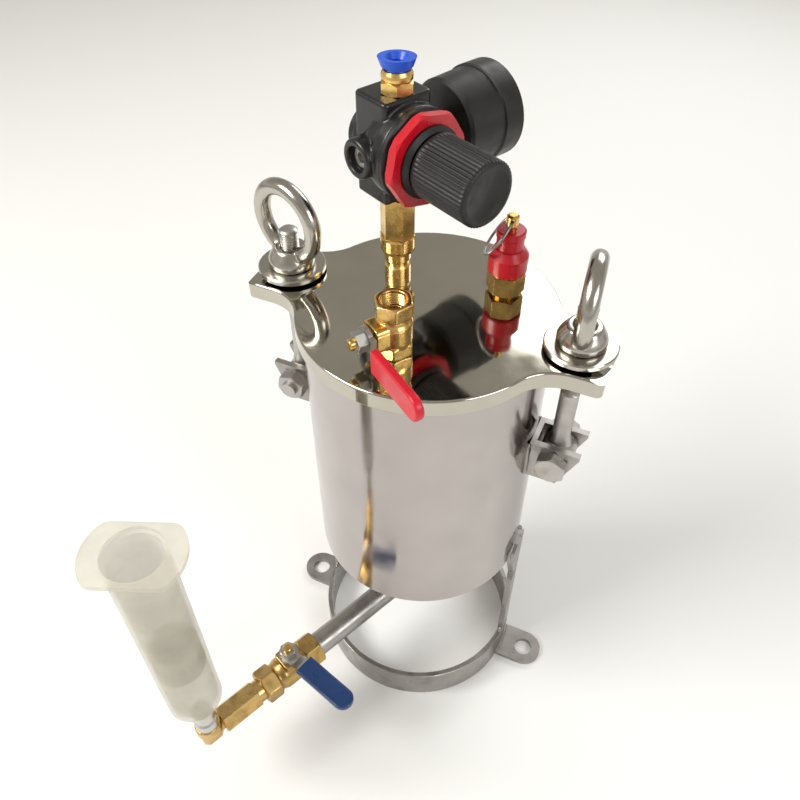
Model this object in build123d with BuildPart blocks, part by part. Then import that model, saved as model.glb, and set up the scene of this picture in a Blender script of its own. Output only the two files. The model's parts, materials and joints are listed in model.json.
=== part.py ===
"""Resin pressure pot: a small stainless vessel with a clamped lid, air regulator, safety valve,
vent valve, and a bottom outlet that feeds a dispensing syringe.

Millimetres. The origin is on the pot's axis at floor level, +Z up, and the two clamping bolts
stand on the X axis.
"""
import os
from math import cos, radians, sin

from build123d import *

os.makedirs("parts", exist_ok=True)

# Vessel
pot_radius = 55.0
pot_wall = 2.0
pot_bottom = 100.0
pot_top = 243.6
rim_inner_radius = 48.0
rim_height = 6.0

# Lid
lid_bottom = 244.0
lid_thickness = 8.0
lid_top = lid_bottom + lid_thickness
lid_radius = 57.6
lug_reach = 80.7
lug_half_width = 17.0
lug_fillet = 20.0
lug_relief_length = 6.0
lug_relief_depth = 1.1
slot_width = 10.0
gasket_inner = 49.6
gasket_outer = 53.6
gasket_height = 2.3

# Clamping bolts
bolt_x = 66.5
bolt_radius = 4.2
bolt_top = 273.5
pin_height = 190.0
pin_radius = 3.95
swing_clearance = 1.5
washer_radius = 15.2
washer_thickness = 2.3
washer_bottom = lid_top + swing_clearance
eye_nut_bottom = washer_bottom + washer_thickness
eye_nut_top = eye_nut_bottom + 9.0
ring_radius = 15.8
ring_bar_radius = 3.7
ring_centre = eye_nut_bottom + 21.2
left_ring_angle = -17.0
right_ring_angle = 97.0
bracket_plate = 3.0
bracket_gap = 12.0
bolt_eye_width = 11.4
bolt_eye_radius = 8.0

# Stand
base_radius = 58.0
base_wall = 3.0
base_height = 21.0
leg_width = 9.0
leg_top = 114.0
foot_hole_x = 72.0
foot_hole_radius = 5.3
foot_thickness = 3.0
foot_half_width = 10.5

# Ports in the lid, as positions in plan
port_radius = 5.0
regulator_port = (-22.5, 18.0)
safety_port = (26.2, 24.3)
vent_port = (-2.0, -31.0)

# Outlet below the pot
outlet_angle = -113.8
outlet_height = 51.4
outlet_bend = 20.0
outlet_pipe_radius = 6.75
outlet_bore = 4.8
outlet_pipe_end = 80.0
outlet_valve_reach = 97.5
outlet_valve_end = 117.5
outlet_coupling_end = 143.2
elbow_reach = 150.0
outlet_lever_angle = -16.0

# Syringe
syringe_bottom = 90.0
syringe_mouth = 215.5
syringe_radius = 13.0
syringe_bore = 11.4
flange_radius = 20.5
flange_half_width = 14.4
flange_angle = 22.0
piston_bottom = 126.0
piston_length = 18.0

# Vent valve on the lid
vent_valve_height = 263.0
vent_stem_angle = -125.0

# Regulator and gauge
regulator_height = 313.5
knob_angle = -26.2
gauge_angle = knob_angle + 90.0
half_port_span = 21.0
knob_radius = 13.0
knob_end = 51.5
panel_nut_radius = 19.3
gauge_radius = 20.0
gauge_face = 50.8
needle_zero_angle = 45.0

running_clearance = 0.06


def turn(frame, outline, mode=Mode.ADD):
    """Revolve an outline of (radius, height) points about the frame's z axis."""
    half_plane = Plane(frame.origin, x_dir=frame.x_dir, z_dir=-frame.y_dir)
    with BuildSketch(half_plane) as profile:
        with BuildLine():
            Polyline(*outline, close=True)
        make_face()
    revolve(profile.sketch, axis=Axis(frame.origin, frame.z_dir), mode=mode)


def rod(frame, radius, bottom, top, mode=Mode.ADD):
    """A plain round between two heights along the frame's z axis."""
    with BuildSketch(frame.offset(bottom)) as profile:
        Circle(radius)
    extrude(profile.sketch, amount=top - bottom, mode=mode)


def tube(frame, outer, inner, bottom, top, mode=Mode.ADD):
    """A round tube between two heights along the frame's z axis."""
    with BuildSketch(frame.offset(bottom)) as profile:
        Circle(outer)
        Circle(inner, mode=Mode.SUBTRACT)
    extrude(profile.sketch, amount=top - bottom, mode=mode)


def hexagon(frame, across_flats, bottom, top, rotation=0, mode=Mode.ADD):
    """A hexagonal prism with its corners turned off at both ends, as on a real nut."""
    with BuildSketch(frame.offset(bottom)) as profile:
        RegularPolygon(across_flats / 2, 6, major_radius=False, rotation=rotation)
    with BuildPart() as prism:
        extrude(profile.sketch, amount=top - bottom)
        corner = across_flats * 0.577
        flat = across_flats * 0.5
        slope = (corner - flat) * 0.6
        turn(frame, [(0, bottom), (flat, bottom), (corner, bottom + slope),
                     (corner, top - slope), (flat, top), (0, top)], Mode.INTERSECT)
    add(prism.part, mode=mode)


def save(builder, name):
    """Label a finished piece and write it as one STEP file."""
    builder.part.label = name
    export_step(builder.part, f"parts/{name}.step")


def along(angle, distance, height):
    """A point at a plan angle and distance from the pot's axis."""
    return (distance * cos(radians(angle)), distance * sin(radians(angle)), height)


# ---------------------------------------------------------------- vessel and stand

with BuildPart() as pot_shell:
    inner = pot_radius - pot_wall
    floor = pot_bottom + pot_wall
    turn(Plane.XY, [(0, pot_bottom), (pot_radius - 2.5, pot_bottom), (pot_radius, pot_bottom + 2.5),
                    (pot_radius, pot_top), (rim_inner_radius, pot_top),
                    (rim_inner_radius, pot_top - rim_height), (inner, pot_top - rim_height - 5),
                    (inner, floor + 1.5), (inner - 1.5, floor), (0, floor)])
    rod(Plane.XY, outlet_bore, pot_bottom - 1, floor + 1, Mode.SUBTRACT)
save(pot_shell, "pot_shell")

with BuildPart() as base_ring:
    tube(Plane.XY, base_radius, base_radius - base_wall, 0, base_height)
    fillet(base_ring.edges().filter_by(GeomType.CIRCLE), 0.5)
save(base_ring, "base_ring")

with BuildPart() as foot_ears:
    for side in (1, -1):
        with BuildSketch() as tab:
            with Locations((side * foot_hole_x, 0)):
                Circle(foot_half_width)
            with Locations((side * (base_radius - 3 + foot_hole_x) / 2, 0)):
                Rectangle(foot_hole_x - base_radius + 3, 2 * foot_half_width)
            with Locations((side * foot_hole_x, 0)):
                Circle(foot_hole_radius, mode=Mode.SUBTRACT)
            Circle(base_radius, mode=Mode.SUBTRACT)
        extrude(tab.sketch, amount=foot_thickness)
save(foot_ears, "foot_ears")

with BuildPart() as base_legs:
    for angle in (0, 90, 180):
        side_plane = Plane(origin=(0, 0, 0), x_dir=along(angle + 90, 1, 0), z_dir=along(angle, 1, 0))
        with BuildSketch(side_plane) as leg_face:
            with BuildLine():
                half = leg_width / 2
                Polyline((-half, base_height), (half, base_height), (half, pot_bottom - 14),
                         (2 * half, pot_bottom), (2 * half, leg_top - 4), (2 * half - 4, leg_top),
                         (4 - 2 * half, leg_top), (-2 * half, leg_top - 4), (-2 * half, pot_bottom),
                         (-half, pot_bottom - 14), close=True)
            make_face()
        with BuildPart() as leg:
            extrude(leg_face.sketch, amount=base_radius + 5)
            tube(Plane.XY, base_radius, base_radius - base_wall + 0.02, 0, leg_top + 5,
                 Mode.INTERSECT)
        add(leg.part)
save(base_legs, "base_legs")


# ---------------------------------------------------------------- hinge brackets and their pins

def mirrored(side):
    """The frame at a clamping bolt's hinge pin, with x pointing away from the pot."""
    return Plane(origin=(side * bolt_x, 0, pin_height), x_dir=(side, 0, 0), z_dir=(0, -side, 0))


web_face = pot_radius + 0.02 - bolt_x
for side, name in ((-1, "left_bracket"), (1, "right_bracket")):
    frame = mirrored(side)
    half_gap = bracket_gap / 2
    outer = half_gap + bracket_plate
    with BuildPart() as bracket:
        with BuildSketch(frame.offset(-outer)) as cheek:
            with BuildLine():
                Polyline((web_face, -13), (3, -13), (11.5, 6.5), (11.5, 8.5), (web_face, 8.5), close=True)
            make_face()
        extrude(cheek.sketch, amount=2 * outer)
        with Locations(Location((side * (bolt_x + 2.5), 0, pin_height))):
            Box(2 * (bolt_x - pot_radius), bracket_gap, 60, mode=Mode.SUBTRACT)
        rod(frame, pin_radius + 0.05, -outer - 1, outer + 1, Mode.SUBTRACT)
        rod(Plane.XY, pot_radius + 0.02, 0, pot_top, Mode.SUBTRACT)
    save(bracket, name)

with BuildPart() as hinge_pins:
    for side in (-1, 1):
        pin_frame = Plane(origin=(side * bolt_x, 0, pin_height), x_dir=(1, 0, 0), z_dir=(0, -side, 0))
        outer = bracket_gap / 2 + bracket_plate
        rod(pin_frame, pin_radius, -outer - 8.5, outer + 0.2)
        hexagon(pin_frame, 13, outer + 0.02, outer + 5.4, rotation=30)
save(hinge_pins, "hinge_pins")

with BuildPart() as hinge_nuts:
    for side in (-1, 1):
        pin_frame = Plane(origin=(side * bolt_x, 0, pin_height), x_dir=(1, 0, 0), z_dir=(0, side, 0))
        outer = bracket_gap / 2 + bracket_plate
        hexagon(pin_frame, 13, outer + 0.02, outer + 6.4, rotation=20)
        rod(pin_frame, pin_radius + 0.02, outer - 1, outer + 8, Mode.SUBTRACT)
save(hinge_nuts, "hinge_nuts")

# ---------------------------------------------------------------- clamping bolts, washers and eye nuts

for side, prefix, ring_angle in ((-1, "left", left_ring_angle), (1, "right", right_ring_angle)):
    upright = Plane(origin=(side * bolt_x, 0, 0), x_dir=(1, 0, 0), z_dir=(0, 0, 1))
    across = Plane(origin=(side * bolt_x, 0, pin_height), x_dir=(1, 0, 0), z_dir=(0, -1, 0))
    with BuildPart() as swing_bolt:
        rod(across, bolt_eye_radius, -bolt_eye_width / 2, bolt_eye_width / 2)
        turn(upright, [(0, pin_height), (bolt_radius + 1.2, pin_height + 5), (bolt_radius, pin_height + 11),
                       (bolt_radius, bolt_top - 1), (bolt_radius - 1, bolt_top), (0, bolt_top)])
        rod(across, pin_radius + running_clearance, -20, 20, Mode.SUBTRACT)
    save(swing_bolt, f"{prefix}_swing_bolt")

    with BuildPart() as washer:
        tube(upright, washer_radius, bolt_radius + 0.3, washer_bottom, eye_nut_bottom - 0.1)
        chamfer(washer.edges().group_by(Axis.Z)[-1].sort_by(SortBy.LENGTH)[-1], 0.5)
    save(washer, f"{prefix}_washer")

    with BuildPart() as eye_nut:
        turn(upright, [(0, eye_nut_bottom), (10.0, eye_nut_bottom), (10.4, eye_nut_bottom + 0.5),
                       (10.4, eye_nut_bottom + 3.2), (9.6, eye_nut_bottom + 5),
                       (7.6, eye_nut_top - 0.8), (6.8, eye_nut_top), (0, eye_nut_top)])
        ring_plane = Plane(origin=(side * bolt_x, 0, ring_centre), x_dir=along(ring_angle, 1, 0),
                           z_dir=along(ring_angle + 90, 1, 0))
        with BuildSketch(Plane(origin=ring_plane.origin, x_dir=ring_plane.x_dir,
                               z_dir=-ring_plane.y_dir)) as bar:
            with Locations((ring_radius, 0)):
                Circle(ring_bar_radius)
        revolve(bar.sketch, axis=Axis(ring_plane.origin, ring_plane.z_dir))
        rod(upright, bolt_radius + running_clearance, eye_nut_bottom - 1, ring_centre, Mode.SUBTRACT)
    save(eye_nut, f"{prefix}_eye_nut")

# ---------------------------------------------------------------- lid

with BuildPart() as lid:
    with BuildSketch(Plane.XY.offset(lid_bottom)) as lid_plan:
        Rectangle(2 * lug_reach, 2 * lug_half_width)
        fillet(lid_plan.vertices(), 2.5)
        Circle(lid_radius)
        waist = [v for v in lid_plan.vertices() if abs(v.X ** 2 + v.Y ** 2 - lid_radius ** 2) < 1]
        fillet(waist, lug_fillet)
    extrude(amount=lid_thickness)
    fillet(lid.edges().group_by(Axis.Z)[-1], 1.0)
    fillet(lid.edges().group_by(Axis.Z)[0], 0.5)
    for side in (-1, 1):
        with BuildSketch(Plane.XZ) as relief:
            with BuildLine():
                Polyline((side * (lug_reach - lug_relief_length), lid_top),
                         (side * lug_reach, lid_top - lug_relief_depth),
                         (side * (lug_reach + 1), lid_top - lug_relief_depth),
                         (side * (lug_reach + 1), lid_top + 1),
                         (side * (lug_reach - lug_relief_length), lid_top + 1), close=True)
            make_face()
        extrude(relief.sketch, amount=20, both=True, mode=Mode.SUBTRACT)
        with BuildSketch(Plane.XY.offset(lid_bottom - 1)) as slot:
            with Locations((side * bolt_x, 0)):
                Circle(slot_width / 2)
            with Locations((side * (bolt_x + 10), 0)):
                Rectangle(20, slot_width)
        extrude(slot.sketch, amount=lid_thickness + 2, mode=Mode.SUBTRACT)
    for x, y in (regulator_port, safety_port, vent_port):
        port_frame = Plane(origin=(x, y, 0))
        rod(port_frame, port_radius, lid_bottom - 1, lid_top + 1, Mode.SUBTRACT)
    tube(Plane.XY, gasket_outer + 0.1, gasket_inner - 0.1, lid_bottom, lid_bottom + gasket_height - 0.35,
         Mode.SUBTRACT)
save(lid, "lid")

with BuildPart() as lid_gasket:
    gasket_bottom = pot_top + 0.05
    tube(Plane.XY, gasket_outer, gasket_inner, gasket_bottom, gasket_bottom + gasket_height - 0.02)
    fillet(lid_gasket.edges().group_by(Axis.Z)[0], 0.4)
save(lid_gasket, "lid_gasket")


# ---------------------------------------------------------------- the moving set of a ball valve

def ball_valve_set(prefix, frame, flow_direction, ball_radius, boss_top, lever_length, crank):
    """Ball, seats, stem, lever, sleeve and nut about a stem axis, with x along the lever."""
    bore_plane = Plane(frame.origin, x_dir=frame.y_dir, z_dir=frame.x_dir)
    stem_radius = 2.5
    slot_floor = ball_radius - 1.8
    lever_thickness = 1.8
    lever_bottom = boss_top + 0.5
    nut_bottom = lever_bottom + lever_thickness
    nut_top = nut_bottom + 4.4

    with BuildPart() as ball:
        with BuildSketch(Plane(frame.origin, x_dir=frame.x_dir, z_dir=-frame.y_dir)) as half_disc:
            Circle(ball_radius)
            with Locations((-ball_radius, 0)):
                Rectangle(2 * ball_radius, 2 * ball_radius, mode=Mode.SUBTRACT)
        revolve(half_disc.sketch, axis=Axis(frame.origin, frame.z_dir))
        rod(bore_plane, ball_radius * 0.58, -ball_radius, ball_radius, Mode.SUBTRACT)
        rod(frame, stem_radius, slot_floor, ball_radius + 1, Mode.SUBTRACT)
    save(ball, f"{prefix}_valve_ball")

    with BuildPart() as seats:
        for direction in (1, -1):
            seat_frame = Plane(frame.origin, x_dir=frame.z_dir, z_dir=flow_direction * direction)
            tube(seat_frame, ball_radius + 0.25, ball_radius * 0.62, ball_radius * 0.62, ball_radius + 1.5)
        with BuildSketch(Plane(frame.origin, x_dir=frame.x_dir, z_dir=-frame.y_dir)) as clear_disc:
            Circle(ball_radius + 0.08)
            with Locations((-ball_radius, 0)):
                Rectangle(2 * ball_radius, 3 * ball_radius, mode=Mode.SUBTRACT)
        revolve(clear_disc.sketch, axis=Axis(frame.origin, frame.z_dir), mode=Mode.SUBTRACT)
    save(seats, f"{prefix}_valve_seats")

    with BuildPart() as stem:
        rod(frame, stem_radius, slot_floor, nut_top + 2.6)
        chamfer(stem.edges().filter_by(GeomType.CIRCLE), 0.5)
    save(stem, f"{prefix}_valve_stem")

    side_plane = Plane(frame.origin, x_dir=frame.x_dir, z_dir=-frame.y_dir)
    root = 5.5
    step_start = 7.0
    step_end = step_start + crank * 1.2 + 0.5
    with BuildPart() as lever:
        with BuildSketch(side_plane.offset(-6)) as strip:
            with BuildLine():
                Polyline((-root, lever_bottom), (step_start, lever_bottom),
                         (step_end, lever_bottom + crank), (lever_length - 1, lever_bottom + crank),
                         (lever_length - 1, lever_bottom + crank + lever_thickness),
                         (step_end - 0.6, lever_bottom + crank + lever_thickness),
                         (step_start - 0.6, lever_bottom + lever_thickness),
                         (-root, lever_bottom + lever_thickness), close=True)
            make_face()
        extrude(strip.sketch, amount=12)
        with BuildSketch(frame.offset(lever_bottom - 1)) as plan:
            Circle(root)
            with Locations(((lever_length - 4.8) / 2, 0)):
                Rectangle(lever_length - 4.8, 7.6)
            with Locations((lever_length - 4.8, 0)):
                Circle(3.8)
        extrude(plan.sketch, amount=crank + 6, mode=Mode.INTERSECT)
        rod(frame, stem_radius + 0.02, lever_bottom - 1, nut_bottom + 1, Mode.SUBTRACT)
    save(lever, f"{prefix}_lever")

    sleeve_start = step_end + 0.6
    sleeve_half = 5.6
    sleeve_bottom = lever_bottom + crank - 0.95
    with BuildPart() as sleeve:
        with BuildSketch(frame.offset(sleeve_bottom)) as sleeve_plan:
            with Locations(((sleeve_start + lever_length - sleeve_half) / 2, 0)):
                Rectangle(lever_length - sleeve_half - sleeve_start, 2 * sleeve_half)
            with Locations((lever_length - sleeve_half, 0)):
                Circle(sleeve_half)
        extrude(sleeve_plan.sketch, amount=lever_thickness + 1.9)
        fillet(sleeve.edges().filter_by(Plane(frame.origin, z_dir=frame.z_dir)), 0.9)
        with BuildSketch(frame.offset(lever_bottom + crank - 0.02)) as pocket:
            with Locations(((lever_length - 4.8) / 2, 0)):
                Rectangle(lever_length - 4.8, 7.64)
            with Locations((lever_length - 4.8, 0)):
                Circle(3.82)
        extrude(pocket.sketch, amount=lever_thickness + 0.04, mode=Mode.SUBTRACT)
    save(sleeve, f"{prefix}_lever_sleeve")

    with BuildPart() as lever_nut:
        hexagon(frame, 8, nut_bottom + 0.02, nut_top, rotation=15)
        rod(frame, stem_radius + 0.02, nut_bottom - 1, nut_top + 1, Mode.SUBTRACT)
    save(lever_nut, f"{prefix}_lever_nut")


def valve_cavity(flow, stem_frame, ball_radius, boss_top, bore_start, bore_end):
    """Take the ball's chamber, the waterway and the stem's hole out of a valve body."""
    rod(flow, ball_radius + 0.3, -ball_radius - 1.55, ball_radius + 1.55, Mode.SUBTRACT)
    rod(flow, ball_radius * 0.6, bore_start, bore_end, Mode.SUBTRACT)
    rod(stem_frame, 2.5 + running_clearance, ball_radius - 2, boss_top + 1, Mode.SUBTRACT)


# ---------------------------------------------------------------- outlet line

outlet_direction = Vector(*along(outlet_angle, 1, 0))
outlet_line = Plane(origin=(0, 0, outlet_height), x_dir=(0, 0, 1), z_dir=outlet_direction)
bend_start = Vector(0, 0, outlet_height + outlet_bend)
bend_end = outlet_direction * outlet_bend + Vector(0, 0, outlet_height)

with BuildPart() as outlet_pipe:
    with BuildLine() as route:
        Line((0, 0, pot_bottom - 0.02), bend_start)
        TangentArc(bend_start, bend_end, tangent=(0, 0, -1))
        Line(bend_end, outlet_direction * outlet_pipe_end + Vector(0, 0, outlet_height))
    with BuildSketch(Plane(origin=(0, 0, pot_bottom - 0.02), z_dir=(0, 0, -1))) as ring_section:
        Circle(outlet_pipe_radius)
        Circle(outlet_bore, mode=Mode.SUBTRACT)
    sweep(ring_section.sketch, path=route.line)
    tube(outlet_line, 6.2, outlet_bore, outlet_pipe_end - 0.5, outlet_pipe_end + 6.5)
save(outlet_pipe, "outlet_pipe")

valve_origin = Vector(*along(outlet_angle, outlet_valve_reach, outlet_height))
outlet_flow = Plane(origin=valve_origin, x_dir=(0, 0, 1), z_dir=outlet_direction)
outlet_stem = Plane(origin=valve_origin, x_dir=outlet_direction, z_dir=(0, 0, 1))
outlet_boss_top = 12.0

with BuildPart() as outlet_valve_body:
    inlet_face = outlet_pipe_end + 0.05 - outlet_valve_reach
    outlet_face = outlet_valve_end - outlet_valve_reach
    hexagon(outlet_flow, 17.5, inlet_face, -7.5, rotation=30)
    turn(outlet_flow, [(0, -9), (8.4, -9), (8.9, -7), (8.9, 7), (7.9, 9.5), (7.6, 12), (0, 12)])
    hexagon(outlet_flow, 17.0, 10.8, outlet_face, rotation=0)
    with BuildSketch(outlet_stem.offset(3)) as boss:
        RectangleRounded(12, 12, 2)
    extrude(boss.sketch, amount=outlet_boss_top - 3.5)
    rod(outlet_stem, 4.6, 8, outlet_boss_top)
    valve_cavity(outlet_flow, outlet_stem, 6.0, outlet_boss_top, inlet_face - 1, outlet_face + 1)
    rod(outlet_flow, 6.25, inlet_face - 1, inlet_face + 7, Mode.SUBTRACT)
    rod(outlet_flow, 6.25, outlet_face - 7, outlet_face + 1, Mode.SUBTRACT)
save(outlet_valve_body, "outlet_valve_body")

lever_direction = along(outlet_lever_angle, 1, 0)
ball_valve_set("outlet", Plane(origin=valve_origin, x_dir=lever_direction, z_dir=(0, 0, 1)),
               outlet_direction, 6.0, outlet_boss_top, 46.0, 3.0)

with BuildPart() as outlet_coupling:
    shoulder = outlet_valve_end + 3.5
    rod(outlet_line, 6.2, outlet_valve_end - 6.5, shoulder + 0.5)
    hexagon(outlet_line, 13.5, shoulder, outlet_coupling_end, rotation=30)
    rod(outlet_line, 3.2, outlet_valve_end - 8, outlet_coupling_end + 1, Mode.SUBTRACT)
    rod(outlet_line, 4.75, outlet_coupling_end - 7, outlet_coupling_end + 1, Mode.SUBTRACT)
save(outlet_coupling, "outlet_coupling")

elbow_origin = Vector(*along(outlet_angle, elbow_reach, outlet_height))
elbow_up = Plane(origin=elbow_origin, x_dir=outlet_direction, z_dir=(0, 0, 1))
elbow_in = Plane(origin=elbow_origin, x_dir=(0, 0, 1), z_dir=-outlet_direction)
elbow_top = 9.0
with BuildPart() as outlet_elbow:
    with BuildSketch(elbow_up.offset(-5.8)) as block:
        Rectangle(11.6, 11.6)
    extrude(block.sketch, amount=10)
    chamfer(outlet_elbow.edges(), 2.2)
    rod(elbow_in, 4.7, 3, elbow_reach - outlet_coupling_end + 6)
    turn(elbow_up, [(0, 0), (5.4, 0), (6.6, 2.4), (6.6, elbow_top - 0.6), (6.0, elbow_top), (0, elbow_top)])
    rod(elbow_up, 3.2, 0, elbow_top + 1, Mode.SUBTRACT)
    rod(elbow_in, 3.2, -3.2, 20, Mode.SUBTRACT)
    rod(elbow_up, 4.75, 3.5, elbow_top + 1, Mode.SUBTRACT)
save(outlet_elbow, "outlet_elbow")

luer_top = 25.0
with BuildPart() as luer_adapter:
    turn(elbow_up, [(0, 3.6), (4.7, 3.6), (4.7, elbow_top + 0.02), (5.9, elbow_top + 0.02),
                    (5.9, elbow_top + 6), (5.2, elbow_top + 7), (5.2, luer_top - 0.6),
                    (4.7, luer_top), (0, luer_top)])
    rod(elbow_up, 2.0, 0, 40, Mode.SUBTRACT)
    rod(elbow_up, 3.3, elbow_top + 5, luer_top + 1, Mode.SUBTRACT)
save(luer_adapter, "luer_adapter")

# ---------------------------------------------------------------- syringe

syringe_axis = Plane(origin=(elbow_origin.X, elbow_origin.Y, 0),
                     x_dir=along(flange_angle, 1, 0), z_dir=(0, 0, 1))
tip_bottom = outlet_height + elbow_top + 6
with BuildPart() as syringe_barrel:
    turn(syringe_axis, [(0, tip_bottom), (2.9, tip_bottom), (3.2, syringe_bottom - 6),
                        (10.5, syringe_bottom - 3.5), (syringe_radius, syringe_bottom + 3),
                        (syringe_radius, syringe_mouth), (0, syringe_mouth)])
    with BuildSketch(syringe_axis.offset(syringe_mouth - 2.6)) as flange:
        Circle(flange_radius)
        Rectangle(60, 2 * flange_half_width, mode=Mode.INTERSECT)
        fillet(flange.vertices(), 6)
    extrude(flange.sketch, amount=2.6)
    turn(syringe_axis, [(0, syringe_bottom - 2), (9.4, syringe_bottom),
                        (syringe_bore, syringe_bottom + 4.5), (syringe_bore, syringe_mouth - 3),
                        (syringe_bore + 1, syringe_mouth - 2), (syringe_bore + 1, syringe_mouth + 1),
                        (0, syringe_mouth + 1)], Mode.SUBTRACT)
    rod(syringe_axis, 1.5, tip_bottom - 1, syringe_bottom, Mode.SUBTRACT)
save(syringe_barrel, "syringe_barrel")

with BuildPart() as syringe_piston:
    lip = syringe_bore - running_clearance
    top = piston_bottom + piston_length
    turn(syringe_axis, [(0, piston_bottom - 4), (8.8, piston_bottom), (lip, piston_bottom + 1),
                        (lip, piston_bottom + 4), (lip - 0.8, piston_bottom + 5),
                        (lip - 0.8, top - 4), (lip, top - 3), (lip, top), (lip - 2, top),
                        (lip - 2.4, piston_bottom + 5), (0, piston_bottom + 3)])
save(syringe_piston, "syringe_piston")

# ---------------------------------------------------------------- vent valve

vent_flow = Plane(origin=(vent_port[0], vent_port[1], vent_valve_height))
vent_axis = Vector(*along(vent_stem_angle, 1, 0))
vent_lever_direction = along(vent_stem_angle + 90, 1, 0)
vent_stem = Plane(origin=vent_flow.origin, x_dir=vent_lever_direction, z_dir=vent_axis)
vent_boss_top = 11.0

with BuildPart() as vent_valve_body:
    seat = lid_top + 0.02 - vent_valve_height
    mouth = 14.5
    hexagon(vent_flow, 14.5, seat, -4.5, rotation=vent_stem_angle)
    turn(vent_flow, [(0, -6), (7.2, -6), (7.6, -4), (7.6, 4), (6.6, 5.6), (6.2, 7.2), (6.8, 8.6),
                     (6.8, mouth - 1), (0, mouth - 1)])
    hexagon(vent_flow, 14.2, 7.6, mouth, rotation=vent_stem_angle + 8)
    with BuildSketch(vent_stem.offset(3)) as boss:
        RectangleRounded(11.5, 11.5, 2.5)
    extrude(boss.sketch, amount=vent_boss_top - 3.5)
    rod(vent_stem, 4.4, 7, vent_boss_top)
    rod(vent_flow, port_radius - 0.02, -vent_valve_height + lid_bottom, seat)
    valve_cavity(vent_flow, vent_stem, 4.5, vent_boss_top, lid_bottom - vent_valve_height - 1, mouth + 1)
    rod(vent_flow, 5.4, mouth - 7.5, mouth + 1, Mode.SUBTRACT)
save(vent_valve_body, "vent_valve_body")

ball_valve_set("vent", vent_stem, Vector(0, 0, 1), 4.5, vent_boss_top, 46.0, 3.5)

# ---------------------------------------------------------------- safety valve

safety_axis = Plane(origin=(safety_port[0], safety_port[1], 0))
relief_seat = 254.8
body_top = 264.8
cap_top = 274.8
adjuster_top = 283.5
stem_top = 290.3
pull_hole_height = 287.5
pull_hole_angle = 100.0
pull_ring_radius = 9.4
pull_ring_tilt = 57.0

with BuildPart() as safety_valve_body:
    rod(safety_axis, port_radius - 0.02, lid_bottom, lid_top + 0.02)
    rod(safety_axis, 5.6, lid_top + 0.02, 254.5)
    hexagon(safety_axis, 14.5, 253.3, body_top - 2, rotation=10)
    rod(safety_axis, 6.6, body_top - 3, body_top + 2.5)
    rod(safety_axis, 2.0, lid_bottom - 1, relief_seat + 1, Mode.SUBTRACT)
    rod(safety_axis, 4.2, relief_seat, body_top + 3, Mode.SUBTRACT)
save(safety_valve_body, "safety_valve_body")

with BuildPart() as safety_valve_bonnet:
    turn(safety_axis, [(0, body_top - 1.5), (8.0, body_top - 1.5), (8.5, body_top - 0.9),
                       (8.5, cap_top - 3.3), (6.4, cap_top), (0, cap_top)])
    rod(safety_axis, 6.62, body_top - 2, body_top + 2.52, Mode.SUBTRACT)
    rod(safety_axis, 5.0, body_top + 2, cap_top + 1, Mode.SUBTRACT)
save(safety_valve_bonnet, "safety_valve_bonnet")

with BuildPart() as safety_valve_adjuster:
    turn(safety_axis, [(0, cap_top - 6), (4.95, cap_top - 6), (4.95, cap_top + 0.02), (5.8, cap_top + 0.02),
                       (5.8, cap_top + 5), (6.2, cap_top + 5.6), (6.2, adjuster_top - 0.6),
                       (5.6, adjuster_top), (0, adjuster_top)])
    rod(safety_axis, 4.2, cap_top - 7, cap_top + 3.5, Mode.SUBTRACT)
    rod(safety_axis, 2.1, cap_top + 3, adjuster_top + 1, Mode.SUBTRACT)
save(safety_valve_adjuster, "safety_valve_adjuster")

hole_frame = Plane(origin=(safety_port[0], safety_port[1], pull_hole_height),
                   x_dir=along(pull_hole_angle + 90, 1, 0), z_dir=along(pull_hole_angle, 1, 0))
with BuildPart() as safety_valve_stem:
    turn(safety_axis, [(0, relief_seat + 0.1), (3.6, relief_seat + 0.1), (3.6, relief_seat + 1.9),
                       (2.0, relief_seat + 2.5), (2.0, pull_hole_height - 3), (2.6, pull_hole_height - 2.2),
                       (2.6, stem_top - 0.8), (1.8, stem_top), (0, stem_top)])
    rod(hole_frame, 1.25, -5, 5, Mode.SUBTRACT)
save(safety_valve_stem, "safety_valve_stem")

with BuildPart() as safety_valve_spring:
    with BuildLine() as spring_wire:
        Helix(pitch=3.2, height=19.2, radius=3.1, center=(safety_port[0], safety_port[1], relief_seat + 3))
    with BuildSketch(Plane(origin=spring_wire.line @ 0, z_dir=spring_wire.line % 0)) as wire_section:
        Circle(0.55)
    sweep(wire_section.sketch, path=spring_wire.line)
save(safety_valve_spring, "safety_valve_spring")

outward = Vector(*along(pull_hole_angle + 90, 1, 0))
ring_offset = outward * cos(radians(pull_ring_tilt)) + Vector(0, 0, -sin(radians(pull_ring_tilt)))
ring_origin = hole_frame.origin + ring_offset * pull_ring_radius
ring_axis = ring_offset.cross(hole_frame.z_dir)
with BuildPart() as safety_pull_ring:
    with BuildSketch(Plane(origin=ring_origin, x_dir=ring_offset, z_dir=hole_frame.z_dir)) as ring_wire:
        with Locations((pull_ring_radius, 0)):
            Circle(0.6)
    revolve(ring_wire.sketch, axis=Axis(ring_origin, ring_axis))
save(safety_pull_ring, "safety_pull_ring")

# ---------------------------------------------------------------- riser to the regulator

riser = Plane(origin=(regulator_port[0], regulator_port[1], 0))
regulator_bottom = regulator_height - half_port_span
with BuildPart() as riser_nipple:
    turn(riser, [(0, lid_bottom), (port_radius - 0.02, lid_bottom), (port_radius - 0.02, lid_top + 0.02),
                 (5.8, lid_top + 0.02), (5.8, 256.5), (5.0, 257.5), (5.0, 259), (5.8, 260),
                 (5.8, 263.2), (5.0, 264), (5.0, 270), (0, 270)])
    rod(riser, 3.0, lid_bottom - 1, 271, Mode.SUBTRACT)
save(riser_nipple, "riser_nipple")

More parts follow.
